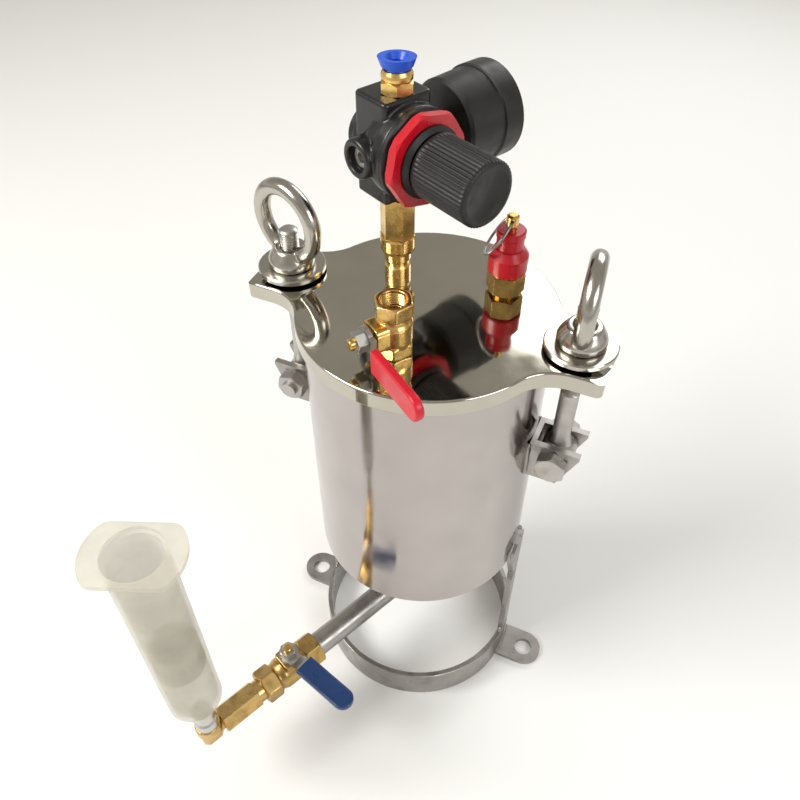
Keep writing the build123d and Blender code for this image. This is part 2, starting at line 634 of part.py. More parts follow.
with BuildPart() as riser_coupling:
    hexagon(riser, 13.0, 264.02, regulator_bottom - 1.5, rotation=12)
    turn(riser, [(0, 265), (7.2, 265), (7.6, 266), (7.6, 271), (7.2, 272), (0, 272)])
    hexagon(riser, 13.6, 264.02, 272.5, rotation=12)
    rod(riser, 5.02, 263, 270.5, Mode.SUBTRACT)
    rod(riser, 3.0, 263, 300, Mode.SUBTRACT)
    tube(riser, 5.0, 3.0, regulator_bottom - 2, regulator_bottom + 8)
save(riser_coupling, "riser_coupling")

# ---------------------------------------------------------------- regulator

centre = Vector(regulator_port[0], regulator_port[1], regulator_height)
knob_direction = along(knob_angle, 1, 0)
gauge_direction = along(gauge_angle, 1, 0)
knob_axis = Plane(origin=centre, x_dir=gauge_direction, z_dir=knob_direction)
gauge_axis = Plane(origin=centre, x_dir=knob_direction, z_dir=gauge_direction)
port_axis = Plane(origin=centre, x_dir=knob_direction, z_dir=(0, 0, 1))
plug_axis = Plane(origin=centre, x_dir=knob_direction, z_dir=Vector(*gauge_direction) * -1)

with BuildPart() as regulator_body:
    turn(knob_axis, [(0, -15), (11, -15), (12.2, -13.5), (12.2, -7), (17.2, 0), (17.9, 5), (18.6, 6), (18.6, 11.5), (0, 11.5)])
    with BuildSketch(port_axis.offset(-half_port_span)) as port_block:
        with Locations((-2.5, 0)):
            RectangleRounded(19, 23.5, 2)
    extrude(port_block.sketch, amount=2 * half_port_span)
    chamfer(regulator_body.edges().group_by(Axis.Z)[-1], 0.8)
    chamfer(regulator_body.edges().group_by(Axis.Z)[0], 0.8)
    turn(gauge_axis, [(0, -21), (7.2, -21), (8.0, -20.2), (8.2, -12), (9.5, -4), (9.5, 12),
                      (8.2, 18.8), (0, 18.8)])
    rod(port_axis, 5.02, -half_port_span - 1, -half_port_span + 9, Mode.SUBTRACT)
    rod(port_axis, 5.02, half_port_span - 9, half_port_span + 1, Mode.SUBTRACT)
    rod(port_axis, 3.0, -half_port_span, half_port_span, Mode.SUBTRACT)
    rod(knob_axis, 14.5, 5.5, 12, Mode.SUBTRACT)
    rod(knob_axis, 6.0, -16, 6, Mode.SUBTRACT)
    rod(gauge_axis, 4.52, 9, 19, Mode.SUBTRACT)
    turn(plug_axis, [(0, 12), (4.52, 12), (4.52, 18.5), (5.6, 22), (0, 22)], Mode.SUBTRACT)
save(regulator_body, "regulator_body")

with BuildPart() as regulator_valve_cap:
    turn(knob_axis, [(0, -19), (9.5, -19), (10.8, -17.8), (10.8, -15.02), (5.98, -15.02), (5.98, -9), (0, -9)])
    rod(knob_axis, 4.4, -13, -8, Mode.SUBTRACT)
save(regulator_valve_cap, "regulator_valve_cap")

with BuildPart() as regulator_diaphragm:
    turn(knob_axis, [(0, 5.52), (14.4, 5.52), (14.4, 6.9), (10.6, 6.9), (9, 8.2), (0, 8.2)])
save(regulator_diaphragm, "regulator_diaphragm")

with BuildPart() as regulator_bonnet:
    turn(knob_axis, [(0, 7), (14.4, 7), (14.4, 11.52), (18.6, 11.52), (18.6, 13), (14.4, 15),
                     (14.4, 20.5), (12.6, 22), (0, 22)])
    rod(knob_axis, 10.8, 6, 19.5, Mode.SUBTRACT)
    rod(knob_axis, 3.1, 19, 23, Mode.SUBTRACT)
save(regulator_bonnet, "regulator_bonnet")

with BuildPart() as regulator_spring:
    with BuildLine() as coil:
        Helix(pitch=2.4, height=7.2, radius=7.0)
    with BuildSketch(Plane(origin=coil.line @ 0, z_dir=coil.line % 0)) as coil_section:
        Circle(0.8)
    sweep(coil_section.sketch, path=coil.line, is_frenet=True)
regulator_spring.part = knob_axis.offset(9.2).location * regulator_spring.part
save(regulator_spring, "regulator_spring")

with BuildPart() as panel_nut:
    with BuildSketch(knob_axis.offset(15.05)) as nut_plan:
        RegularPolygon(panel_nut_radius, 8, rotation=10)
    extrude(nut_plan.sketch, amount=4.2)
    turn(knob_axis, [(0, 15), (18.4, 15), (panel_nut_radius, 16), (panel_nut_radius, 18.2),
                     (18.2, 19.3), (0, 19.3)], Mode.INTERSECT)
    rod(knob_axis, 14.42, 14, 20, Mode.SUBTRACT)
save(panel_nut, "panel_nut")

with BuildPart() as regulator_spindle:
    rod(knob_axis, 3.0, 17.6, 45)
    rod(knob_axis, 6.4, 17.0, 18.6)
    chamfer(regulator_spindle.edges().group_by(SortBy.LENGTH)[-1], 0.4)
save(regulator_spindle, "regulator_spindle")

with BuildPart() as regulator_knob:
    turn(knob_axis, [(0, 22.9), (12.6, 22.9), (knob_radius, 23.4), (knob_radius, knob_end - 1.2),
                     (knob_radius - 1.2, knob_end), (0, knob_end)])
    rod(knob_axis, 11.0, 22, 47.5, Mode.SUBTRACT)
    tube(knob_axis, 5.0, 3.06, 26, 48)
    rod(knob_axis, 3.06, 24, 48.8, Mode.SUBTRACT)
save(regulator_knob, "regulator_knob")

with BuildPart() as port_plug:
    turn(plug_axis, [(0, 13), (4.5, 13), (4.5, 17.6), (4.0, 18.1), (0, 18.1)])
    hexagon(plug_axis, 4.0, 15.4, 19, mode=Mode.SUBTRACT)
save(port_plug, "port_plug")

# ---------------------------------------------------------------- gauge

with BuildPart() as gauge_socket:
    rod(gauge_axis, 4.5, 10, 19.5)
    hexagon(gauge_axis, 10.5, 18.82, 23.4, rotation=15)
save(gauge_socket, "gauge_socket")

case_back = 23.42
with BuildPart() as gauge_case:
    turn(gauge_axis, [(0, case_back), (17.4, case_back), (18.6, case_back + 1.4), (19.2, 41),
                      (gauge_radius, 41.4), (gauge_radius, gauge_face), (gauge_radius - 1.8, gauge_face),
                      (gauge_radius - 2.2, gauge_face - 3), (17.4, gauge_face - 3),
                      (17.4, case_back + 4), (0, case_back + 2)])
save(gauge_case, "gauge_case")

dial_height = gauge_face - 7.0
with BuildPart() as gauge_dial:
    rod(gauge_axis, 17.3, dial_height - 0.8, dial_height)
    rod(gauge_axis, 0.9, dial_height - 2, dial_height + 1, Mode.SUBTRACT)
save(gauge_dial, "gauge_dial")

with BuildPart() as gauge_window:
    rod(gauge_axis, 17.7, gauge_face - 2.98, gauge_face - 1.2)
save(gauge_window, "gauge_window")

with BuildPart() as gauge_needle:
    needle_frame = Plane(origin=gauge_axis.origin, x_dir=gauge_axis.x_dir, z_dir=gauge_axis.z_dir)
    with BuildSketch(needle_frame.offset(dial_height + 1.0)) as pointer:
        with BuildLine():
            tip = Vector(cos(radians(needle_zero_angle)), sin(radians(needle_zero_angle)))
            edge = Vector(-tip.Y, tip.X)
            Polyline(tip * 14.2, edge * 0.9, tip * -5.5 + edge * 0.7, tip * -5.5 - edge * 0.7,
                     edge * -0.9, close=True)
        make_face()
    extrude(pointer.sketch, amount=0.5)
    rod(needle_frame, 1.8, dial_height + 0.8, dial_height + 2.2)
    rod(needle_frame, 0.8, dial_height - 2.2, dial_height + 1)
save(gauge_needle, "gauge_needle")

# ---------------------------------------------------------------- push-in air fitting

fitting_base = half_port_span
with BuildPart() as push_fitting:
    rod(port_axis, 5.0, fitting_base - 8, fitting_base + 0.5)
    hexagon(port_axis, 12.0, fitting_base + 0.02, fitting_base + 4.6, rotation=20)
    turn(port_axis, [(0, fitting_base + 4), (5.5, fitting_base + 4), (6.1, fitting_base + 5.2),
                     (6.2, fitting_base + 6.2), (6.1, fitting_base + 7.2), (5.5, fitting_base + 8.4),
                     (0, fitting_base + 8.4)])
    rod(port_axis, 2.2, fitting_base - 9, fitting_base + 9, Mode.SUBTRACT)
    rod(port_axis, 4.6, fitting_base + 0.8, fitting_base + 9, Mode.SUBTRACT)
save(push_fitting, "push_fitting")

collar_base = fitting_base + 2.4
collar_lip = fitting_base + 9.6
with BuildPart() as release_collar:
    rod(port_axis, 4.54, collar_base, collar_lip)
    with BuildSketch(port_axis.offset(collar_lip)) as cup_bottom:
        Ellipse(6.2, 5.2, rotation=50)
    with BuildSketch(port_axis.offset(collar_lip + 3.3)) as cup_top:
        Ellipse(7.4, 6.1, rotation=50)
    loft([cup_bottom.sketch, cup_top.sketch])
    turn(port_axis, [(0, collar_base - 1), (3.1, collar_base - 1), (3.1, collar_lip + 1),
                     (4.9, collar_lip + 4), (0, collar_lip + 4)], Mode.SUBTRACT)
save(release_collar, "release_collar")
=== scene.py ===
"""The looks of the resin pressure pot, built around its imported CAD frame. Metres, +Z up."""
import json
from math import atan, cos, pi, radians, sin, tau

import bmesh
import bpy
from mathutils import Matrix, Vector


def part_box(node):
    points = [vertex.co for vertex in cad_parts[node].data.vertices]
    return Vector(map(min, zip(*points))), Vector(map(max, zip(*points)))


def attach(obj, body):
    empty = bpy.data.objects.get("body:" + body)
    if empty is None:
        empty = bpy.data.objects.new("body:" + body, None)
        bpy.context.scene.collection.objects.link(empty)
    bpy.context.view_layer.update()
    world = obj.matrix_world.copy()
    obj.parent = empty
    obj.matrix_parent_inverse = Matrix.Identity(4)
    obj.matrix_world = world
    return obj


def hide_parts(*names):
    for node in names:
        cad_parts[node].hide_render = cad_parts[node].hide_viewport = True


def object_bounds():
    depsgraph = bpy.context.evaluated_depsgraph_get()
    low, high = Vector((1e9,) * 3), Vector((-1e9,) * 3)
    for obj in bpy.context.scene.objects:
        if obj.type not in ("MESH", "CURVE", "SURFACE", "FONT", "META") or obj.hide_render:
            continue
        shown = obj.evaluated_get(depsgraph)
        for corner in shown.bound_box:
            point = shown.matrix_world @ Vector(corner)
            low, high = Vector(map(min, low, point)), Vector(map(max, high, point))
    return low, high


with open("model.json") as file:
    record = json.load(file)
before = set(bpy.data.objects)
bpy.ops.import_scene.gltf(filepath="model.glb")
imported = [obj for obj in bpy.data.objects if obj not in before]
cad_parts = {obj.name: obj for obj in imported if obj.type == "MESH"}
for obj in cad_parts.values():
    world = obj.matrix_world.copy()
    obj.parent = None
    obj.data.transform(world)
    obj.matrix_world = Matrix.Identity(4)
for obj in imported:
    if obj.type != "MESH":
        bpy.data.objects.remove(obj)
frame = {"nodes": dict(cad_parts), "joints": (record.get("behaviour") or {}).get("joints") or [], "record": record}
cad_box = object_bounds()

MM = 0.001
nodes = frame["nodes"]
joints = {joint["name"]: joint for joint in frame["joints"]}
body_of = {node: body for body, members in frame["record"]["behaviour"]["bodies"].items() for node in members}
slot_of = {part["node"]: part["material_slot"] for part in frame["record"]["subparts"]}


# ---------------------------------------------------------------- places taken from the frame

def axis_place(origin, direction, sideways=(0, 0, 1)):
    """A matrix whose z axis runs along direction from origin, with y as near to sideways as it can be."""
    z = Vector(direction).normalized()
    x = Vector(sideways).cross(z).normalized()
    y = z.cross(x)
    rotation = Matrix((x, y, z)).transposed().to_4x4()
    return Matrix.Translation(Vector(origin)) @ rotation


def extent(node, origin, direction):
    """The lowest and highest reach of a CAD node along a direction from an origin."""
    along = Vector(direction).normalized()
    reaches = [(v.co - Vector(origin)).dot(along) for v in nodes[node].data.vertices]
    return min(reaches), max(reaches)


regulator_centre = Vector(joints["spindle_turn"]["pos_m"])
knob_axis = Vector(joints["spindle_turn"]["axis"])
gauge_axis = -Vector(joints["needle_sweep"]["axis"])
outlet_valve = Vector(joints["outlet_lever_turn"]["pos_m"])
outlet_axis = Vector((outlet_valve.x, outlet_valve.y, 0)).normalized()
vent_valve = Vector(joints["vent_lever_turn"]["pos_m"])
pull_hole = Vector(joints["pull_ring_swing"]["pos_m"])


# ---------------------------------------------------------------- node-based materials

class Look:
    """A procedural material: a Principled shader with noise in its colour, roughness and relief."""

    def __init__(self, name, colour, metallic=0.0, roughness=0.5, **values):
        self.material = bpy.data.materials.new(name)
        self.material.use_nodes = True
        self.tree = self.material.node_tree
        self.shader = self.tree.nodes["Principled BSDF"]
        self.colour = colour
        self.put("Base Color", (*colour, 1))
        self.put("Metallic", metallic)
        self.put("Roughness", roughness)
        for socket, value in values.items():
            self.put(socket.replace("_", " "), value)
        self.place = self.tree.nodes.new("ShaderNodeTexCoord").outputs["Object"]
        self.normal = None

    def put(self, socket, value):
        self.shader.inputs[socket].default_value = value

    def noise(self, scale, detail=4.0, stretch=(1, 1, 1)):
        """Cloudy noise with features of about 1 / scale metres, stretched along the row's axes."""
        mapping = self.tree.nodes.new("ShaderNodeMapping")
        mapping.inputs["Scale"].default_value = stretch
        self.tree.links.new(self.place, mapping.inputs["Vector"])
        cloud = self.tree.nodes.new("ShaderNodeTexNoise")
        cloud.inputs["Scale"].default_value = scale
        cloud.inputs["Detail"].default_value = detail
        self.tree.links.new(mapping.outputs["Vector"], cloud.inputs["Vector"])
        return cloud.outputs["Fac"]

    def turning(self, axis, scale, detail=3.0):
        """Noise that changes only along an axis, as the marks of turning or polishing do."""
        dot = self.tree.nodes.new("ShaderNodeVectorMath")
        dot.operation = "DOT_PRODUCT"
        dot.inputs[1].default_value = axis
        self.tree.links.new(self.place, dot.inputs[0])
        marks = self.tree.nodes.new("ShaderNodeTexNoise")
        marks.noise_dimensions = "1D"
        marks.inputs["Scale"].default_value = scale
        marks.inputs["Detail"].default_value = detail
        self.tree.links.new(dot.outputs["Value"], marks.inputs["W"])
        return marks.outputs["Fac"]

    def colours(self, factor, *stops):
        """Colour by noise: each stop is (noise value, colour)."""
        ramp = self.tree.nodes.new("ShaderNodeValToRGB")
        elements = ramp.color_ramp.elements
        while len(elements) < len(stops):
            elements.new(0.5)
        for element, (value, colour) in zip(elements, stops):
            element.position = value
            element.color = (*colour, 1)
        self.tree.links.new(factor, ramp.inputs["Fac"])
        self.tree.links.new(ramp.outputs["Color"], self.shader.inputs["Base Color"])
        return self

    def roughness(self, factor, smoothest, roughest, low=0.3, high=0.7):
        """Roughness that follows noise."""
        spread = self.tree.nodes.new("ShaderNodeMapRange")
        ends = {"From Min": low, "From Max": high, "To Min": smoothest, "To Max": roughest}
        for socket, value in ends.items():
            spread.inputs[socket].default_value = value
        self.tree.links.new(factor, spread.inputs["Value"])
        self.tree.links.new(spread.outputs["Result"], self.shader.inputs["Roughness"])
        return self

    def relief(self, factor, depth, strength=1.0):
        """Bump from noise, depth in metres, on top of any relief already there."""
        bump = self.tree.nodes.new("ShaderNodeBump")
        bump.inputs["Distance"].default_value = depth
        bump.inputs["Strength"].default_value = strength
        self.tree.links.new(factor, bump.inputs["Height"])
        if self.normal:
            self.tree.links.new(self.normal, bump.inputs["Normal"])
        self.normal = bump.outputs["Normal"]
        self.tree.links.new(self.normal, self.shader.inputs["Normal"])
        return self


def shade(colour, factor):
    return tuple(channel * factor for channel in colour)


def polished(name, colour, smoothest, roughest, wave_depth):
    """Mirror-polished stainless: cloudy buffing haze and a slow wave in the surface."""
    look = Look(name, colour, metallic=1.0)
    haze = look.noise(38, 6)
    look.colours(haze, (0.30, shade(colour, 0.93)), (0.55, colour), (0.80, shade(colour, 1.05)))
    look.roughness(look.noise(85, 8), smoothest, roughest)
    look.relief(look.noise(16, 2), wave_depth)
    return look


def satin(name, colour, scale=260, depth=0.00003):
    """Ground or as-rolled steel with fine scratches, and brown heat tint in places."""
    look = Look(name, colour, metallic=1.0)
    stain = look.noise(55, 7)
    look.colours(stain, (0.28, shade(colour, 0.62)), (0.45, colour), (0.62, shade(colour, 1.12)),
                 (0.80, (colour[0] * 0.86, colour[1] * 0.76, colour[2] * 0.64)))
    look.roughness(look.noise(150, 6), 0.24, 0.50)
    look.relief(look.noise(scale, 8, (1, 1, 0.15)), depth, 0.7)
    return look


def machined(name, colour, axis, dark=0.72, smoothest=0.16, roughest=0.34):
    """Turned and milled brass: fine turning marks and handling tarnish."""
    look = Look(name, colour, metallic=1.0)
    tarnish = look.noise(120, 6)
    look.colours(tarnish, (0.30, (colour[0] * dark, colour[1] * dark * 0.92, colour[2] * dark * 0.85)),
                 (0.52, colour), (0.75, shade(colour, 1.06)))
    look.roughness(look.noise(230, 5), smoothest, roughest)
    look.relief(look.turning(axis, 2600), 0.00002, 0.6)
    look.relief(look.noise(420, 3), 0.00003, 0.5)
    return look


def moulded(name, colour, roughness, grain=900, depth=0.00002, coat=0.0, spread=0.12):
    """Moulded plastic or dipped vinyl: a faint grain, dust, and slightly uneven gloss."""
    look = Look(name, colour, roughness=roughness, Coat_Weight=coat, Coat_Roughness=0.18)
    dust = look.noise(70, 7)
    look.colours(dust, (0.32, shade(colour, 0.86)), (0.60, colour),
                 (0.85, tuple(channel * 0.97 + 0.012 for channel in colour)))
    look.roughness(look.noise(160, 6), roughness - spread / 2, roughness + spread)
    look.relief(look.noise(grain, 4), depth, 0.8)
    return look


VERTICAL = (0, 0, 1)
STEEL = (0.50, 0.475, 0.41)
BRASS = (0.76, 0.51, 0.18)

looks = {
    "polished_steel": polished("polished_steel", STEEL, 0.035, 0.10, 0.00006),
    "vessel_steel": polished("vessel_steel", (0.46, 0.425, 0.41), 0.09, 0.20, 0.00022),
    "satin_steel": satin("satin_steel", (0.36, 0.345, 0.325)),
    "zinc_steel": satin("zinc_steel", (0.45, 0.435, 0.41), 500, 0.00002),
    "brass": machined("brass", BRASS, VERTICAL),
    "aged_brass": machined("aged_brass", (0.50, 0.33, 0.12), tuple(outlet_axis), 0.55, 0.24, 0.46),
    "red_metal": moulded("red_metal", (0.56, 0.003, 0.014), 0.30, coat=0.2),
    "red_vinyl": moulded("red_vinyl", (0.60, 0.004, 0.020), 0.34, 420, 0.00003, coat=0.1),
    "navy_vinyl": moulded("navy_vinyl", (0.006, 0.042, 0.165), 0.30, 420, 0.00003, coat=0.15),
    "blue_plastic": moulded("blue_plastic", (0.008, 0.085, 0.600), 0.34, coat=0.1),
    "black_paint": moulded("black_paint", (0.0050, 0.0050, 0.0056), 0.32, 700, 0.00004, coat=0.1),
    "black_plastic": moulded("black_plastic", (0.0060, 0.0060, 0.0066), 0.40, 800, 0.00004),
    "white_plastic": moulded("white_plastic", (0.50, 0.475, 0.36), 0.42),
    "seal_rubber": moulded("seal_rubber", (0.03, 0.03, 0.03), 0.70, 600, 0.00005),
    "spring_steel": satin("spring_steel", (0.45, 0.45, 0.46), 700, 0.00001),
    "dial_white": moulded("dial_white", (0.82, 0.82, 0.79), 0.45),
}

milky = moulded("clear_plastic", (0.68, 0.65, 0.54), 0.36, 300, 0.00003)
milky.put("Alpha", 0.45)
milky.put("IOR", 1.49)
looks["clear_plastic"] = milky

pane = Look("window", (0.95, 0.97, 0.97), roughness=0.03, Alpha=0.16, IOR=1.46)
pane.roughness(pane.noise(90, 4), 0.02, 0.07)
looks["window"] = pane

nickel = polished("nickel_plate", (0.60, 0.585, 0.56), 0.14, 0.30, 0.00002)
forged = polished("forged_steel", (0.47, 0.445, 0.40), 0.15, 0.27, 0.00004)
weld = satin("weld_bead", (0.33, 0.31, 0.285), 900, 0.00006)
brass_along_outlet = machined("brass_outlet", (0.62, 0.42, 0.16), tuple(outlet_axis), 0.60, 0.20, 0.36)
ink = moulded("dial_ink", (0.012, 0.012, 0.014), 0.55)


def paint(piece, look):
    """Give a CAD node or a new piece one procedural material."""
    piece.data.materials.clear()
    piece.data.materials.append(look.material)


for node, piece in nodes.items():
    paint(piece, looks[slot_of[node]])
paint(nodes["luer_adapter"], nickel)
for node in ("left_washer", "right_washer"):
    paint(nodes[node], forged)
for node in ("outlet_coupling", "outlet_elbow"):
    paint(nodes[node], brass_along_outlet)


# ---------------------------------------------------------------- mesh tools

def finish_piece(mesh, name, body, look, stands_for=(), crease=38):
    """Turn a bmesh into a smooth-shaded piece that rides on a body and takes a slot's finish."""
    bmesh.ops.recalc_face_normals(mesh, faces=mesh.faces)
    data = bpy.data.meshes.new(name)
    mesh.to_mesh(data)
    mesh.free()
    return finish_mesh(data, name, body, look, stands_for, crease)


def finish_mesh(data, name, body, look, stands_for=(), crease=38):
    data.polygons.foreach_set("use_smooth", [True] * len(data.polygons))
    data.set_sharp_from_angle(angle=radians(crease))
    piece = bpy.data.objects.new(name, data)
    bpy.context.scene.collection.objects.link(piece)
    paint(piece, look)
    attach(piece, body)
    if stands_for:
        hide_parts(*stands_for)
    return piece


def turned(mesh, place, outline, segments=96, shape=None, closed=False):
    """Revolve (radius, height) points about a place's z axis.

    shape(angle, radius, height) gives the radius at an angle, where it isn't the same all round.
    """
    rings = []
    for radius, height in outline:
        if radius == 0:
            rings.append([mesh.verts.new(place @ Vector((0, 0, height)))])
            continue
        ring = []
        for step in range(segments):
            angle = tau * step / segments
            reach = shape(angle, radius, height) if shape else radius
            ring.append(mesh.verts.new(place @ Vector((reach * cos(angle), reach * sin(angle), height))))
        rings.append(ring)
    pairs = list(zip(rings, rings[1:]))
    if closed:
        pairs.append((rings[-1], rings[0]))
    for low, high in pairs:
        for step in range(segments):
            after = (step + 1) % segments
            corners = [low[step % len(low)], low[after % len(low)],
                       high[after % len(high)], high[step % len(high)]]
            corners = list(dict.fromkeys(corners))
            if len(corners) > 2:
                mesh.faces.new(corners)


def swept(mesh, points, radii, sides=10):
    """A closed tube along a line of points, with a radius at each point."""
    rings = []
    for index, point in enumerate(points):
        ahead = points[min(index + 1, len(points) - 1)]
        behind = points[max(index - 1, 0)]
        place = axis_place(point, ahead - behind, (0.31, 0.17, 0.93))
        rings.append([mesh.verts.new(place @ Vector((radii[index] * cos(tau * k / sides),
                                                     radii[index] * sin(tau * k / sides), 0)))
                      for k in range(sides)])
    for low, high in zip(rings, rings[1:]):
        for k in range(sides):
            mesh.faces.new((low[k], low[(k + 1) % sides], high[(k + 1) % sides], high[k]))
    mesh.faces.new(list(reversed(rings[0])))
    mesh.faces.new(rings[-1])


def bead(mesh, points, radius, ripple=1.3 * MM):
    """A weld bead along a line: round, with the overlapping ripples of its pools."""
    path = [Vector(points[0])]
    for start, end in zip(points, points[1:]):
        start, end = Vector(start), Vector(end)
        steps = max(1, round((end - start).length / (ripple / 5)))
        path += [start.lerp(end, step / steps) for step in range(1, steps + 1)]
    travelled = 0.0
    radii = []
    for index, point in enumerate(path):
        travelled += (point - path[index - 1]).length if index else 0.0
        phase = (travelled / ripple) % 1.0
        wander = 0.06 * sin(travelled * 900)
        ends = min(1.0, 0.35 + index / 5, 0.35 + (len(path) - 1 - index) / 5)
        radii.append(radius * ends * (0.86 + 0.16 * phase + wander))
    swept(mesh, path, radii)


def softened(node, voxel, rounds, look=None, suffix="cast"):
    """Stand in for a CAD node with a remeshed copy whose edges and inner corners are rounded."""
    source = nodes[node].data.copy()
    welded = bmesh.new()
    welded.from_mesh(source)
    bmesh.ops.remove_doubles(welded, verts=welded.verts, dist=0.01 * MM)
    welded.to_mesh(source)
    welded.free()
    rough = bpy.data.objects.new("rough", source)
    bpy.context.scene.collection.objects.link(rough)
    remesh = rough.modifiers.new("remesh", "REMESH")
    remesh.mode = "VOXEL"
    remesh.voxel_size = voxel
    smooth = rough.modifiers.new("smooth", "SMOOTH")
    smooth.factor = 0.5
    smooth.iterations = rounds
    result = bpy.data.meshes.new_from_object(rough.evaluated_get(bpy.context.evaluated_depsgraph_get()))
    bpy.data.objects.remove(rough)
    slot = slot_of[node]
    return finish_mesh(result, f"{node}_{suffix}", body_of[node], look or looks[slot], (node,), 80)


def thread(radius, pitch, depth, bottom, top):
    """The outline and shape of an outside thread: many rings whose radius follows a helix."""
    count = int((top - bottom) / pitch * 8)
    outline = [(radius, bottom + (top - bottom) * step / count) for step in range(count + 1)]

    def shape(angle, reach, height):
        if height < bottom or height > top:
            return reach
        phase = (height / pitch - angle / tau) % 1.0
        groove = abs(2 * phase - 1)
        fade = min(1.0, (height - bottom) / pitch, (top - height) / (0.5 * pitch))
        return reach - depth * fade * min(1.0, 1.35 * groove)

    return outline, shape


# ---------------------------------------------------------------- clamping bolts and eye nuts

bolt_radius = 4.2 * MM
bolt_pitch = 1.25 * MM
bolt_thread_depth = 0.85 * MM
bolt_thread_length = 46 * MM
pin_hole = 4.02 * MM
rounding = 0.7 * MM

for side in ("left", "right"):
    pin = Vector(joints[f"{side}_bolt_swing"]["pos_m"])
    lowest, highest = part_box(f"{side}_swing_bolt")
    eye_half_width = (highest.y - lowest.y) / 2
    eye_radius = pin.z - lowest.z
    top = highest.z - pin.z
    stem = axis_place(pin, VERTICAL, (0, 1, 0))
    across = axis_place(pin, (0, 1, 0))
    mesh = bmesh.new()
    turned(mesh, across, [(pin_hole, -eye_half_width), (eye_radius - rounding, -eye_half_width),
                          (eye_radius, rounding - eye_half_width), (eye_radius, eye_half_width - rounding),
                          (eye_radius - rounding, eye_half_width), (pin_hole, eye_half_width)],
           64, closed=True)
    thread_start = top - bolt_thread_length
    rings, helix = thread(bolt_radius, bolt_pitch, bolt_thread_depth, thread_start, top - 0.9 * MM)
    neck = [(0, 5 * MM), (bolt_radius + 1.3 * MM, 5 * MM), (bolt_radius + 0.9 * MM, 8.5 * MM),
            (bolt_radius, 12 * MM), (bolt_radius, thread_start - 0.1 * MM)]
    tip = [(bolt_radius - 0.75 * MM, top - 0.25 * MM), (bolt_radius - 1.1 * MM, top), (0, top)]
    turned(mesh, stem, neck + rings + tip, 64, helix)
    finish_piece(mesh, f"{side}_bolt_threaded", body_of[f"{side}_swing_bolt"],
                 looks["zinc_steel"], (f"{side}_swing_bolt",))
    softened(f"{side}_eye_nut", 0.42 * MM, 9, forged, "forged")

# ---------------------------------------------------------------- cast and dipped pieces with soft edges

softened("outlet_valve_body", 0.36 * MM, 4)
softened("vent_valve_body", 0.33 * MM, 3)
softened("outlet_elbow", 0.33 * MM, 4, brass_along_outlet)
softened("regulator_body", 0.45 * MM, 4)
for node in ("outlet_lever_sleeve", "vent_lever_sleeve"):
    softened(node, 0.30 * MM, 10, suffix="dipped")

# ---------------------------------------------------------------- threads that show

mesh = bmesh.new()
vent_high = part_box("vent_valve_body")[1]
mouth_bore = 5.4 * MM
mouth_depth = 7.0 * MM
mouth = axis_place((vent_valve.x, vent_valve.y, vent_high.z - mouth_depth), VERTICAL, (0, 1, 0))
pitch = 0.907 * MM
thread_depth = 0.55 * MM
wall_thickness = 0.2 * MM
thread_length = mouth_depth - 0.9 * MM


def inside_thread(angle, radius, height):
    """The inside wall of a threaded mouth; the outside wall stays hidden in the metal round it."""
    if radius > mouth_bore:
        return radius
    phase = (height / pitch - angle / tau) % 1.0
    fade = min(1.0, height / pitch, (thread_length - height) / pitch)
    return radius - thread_depth * fade * (1 - abs(2 * phase - 1))


steps = int(thread_length / pitch * 8)
wall = [(mouth_bore, thread_length * step / steps) for step in range(steps + 1)]
outside = mouth_bore + wall_thickness
turned(mesh, mouth, wall + [(outside, thread_length), (outside, 0)], 64, inside_thread, closed=True)
finish_piece(mesh, "vent_mouth_thread", body_of["vent_valve_body"], looks["brass"])

# ---------------------------------------------------------------- regulator knob

knob_place = axis_place(regulator_centre, knob_axis)
knob_start, knob_end = extent("regulator_knob", regulator_centre, knob_axis)
knob_radius = 13.0 * MM
rib_count = 48
rib_depth = 0.38 * MM
rib_start = knob_start + 1.6 * MM
rib_end = knob_end - 1.0 * MM


def ribbed(angle, radius, height):
    """Rounded ribs along the knob that run out at both ends."""
    if radius < 0.9 * knob_radius or height < rib_start or height > rib_end + 0.01 * MM:
        return radius
    fade = min(1.0, (height - rib_start) / (0.8 * MM))
    return radius - rib_depth * fade * (0.5 - 0.5 * cos(angle * rib_count)) ** 1.6


mesh = bmesh.new()
skirt = 11.0 * MM
spindle_hole = 3.1 * MM
skirt_depth = 4 * MM
hole_depth = 20 * MM
sides = [(knob_radius, rib_start + (rib_end - rib_start) * step / 24) for step in range(25)]
turned(mesh, knob_place, [(spindle_hole, knob_start + skirt_depth), (skirt, knob_start + skirt_depth),
                          (skirt, knob_start), (knob_radius - 0.5 * MM, knob_start),
                          (knob_radius, knob_start + 0.5 * MM)] + sides
       + [(knob_radius - 0.9 * MM, knob_end - 0.15 * MM), (knob_radius - 1.4 * MM, knob_end),
          (knob_radius - 3.2 * MM, knob_end), (knob_radius - 3.5 * MM, knob_end - 0.3 * MM),
          (0, knob_end - 0.3 * MM), (0, knob_start + hole_depth), (spindle_hole, knob_start + hole_depth)],
       rib_count * 10, ribbed, closed=True)
finish_piece(mesh, "regulator_knob_ribbed", body_of["regulator_knob"],
             looks["black_plastic"], ("regulator_knob",), 50)

# ---------------------------------------------------------------- gauge dial marks

dial_front = extent("gauge_dial", regulator_centre, gauge_axis)[1]
dial_place = axis_place(regulator_centre + gauge_axis * (dial_front + 0.02 * MM), gauge_axis, VERTICAL)
mark_thickness = 0.06 * MM
scale_radius = 15.6 * MM
first_angle = radians(225)
last_angle = radians(-45)


